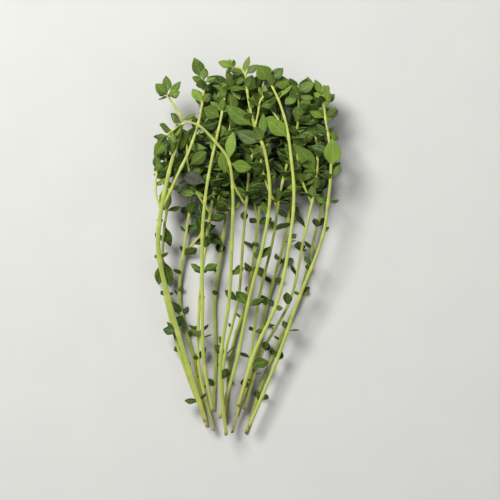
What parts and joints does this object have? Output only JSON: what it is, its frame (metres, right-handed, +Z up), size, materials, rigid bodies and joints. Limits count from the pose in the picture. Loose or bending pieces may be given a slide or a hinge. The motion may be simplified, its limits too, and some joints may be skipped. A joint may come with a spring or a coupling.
{
  "type": "fresh thyme bundle",
  "caption": "Loose bundle of fresh thyme sprigs lying flat: thin square stems with side shoots and pairs of small oval leaves, leafy tops together and bare cut ends gathered.",
  "frame": {"origin": "on the surface that the bundle lies on, under the middle of its bounding box", "axes": "+Y from the cut ends towards the leafy tips, +X to the right as seen from above with the tips away, +Z up"},
  "size_m": [0.0754, 0.1527, 0.0276],
  "materials": {
    "thyme": "matt fresh green leaves, paler below, on yellow-green stems"
  },
  "bodies": {
    "root": {"sprig_left_front": "thyme", "sprig_arching": "thyme", "sprig_left_centre": "thyme", "sprig_centre_front": "thyme", "sprig_right_centre": "thyme", "sprig_right_front": "thyme", "sprig_left_middle": "thyme", "sprig_mid_left_middle": "thyme", "sprig_centre_middle": "thyme", "sprig_mid_right_middle": "thyme", "sprig_right_middle": "thyme", "sprig_left_back": "thyme", "sprig_mid_left_back": "thyme", "sprig_centre_back": "thyme", "sprig_mid_right_back": "thyme", "sprig_right_back": "thyme"}
  },
  "joints": []
}
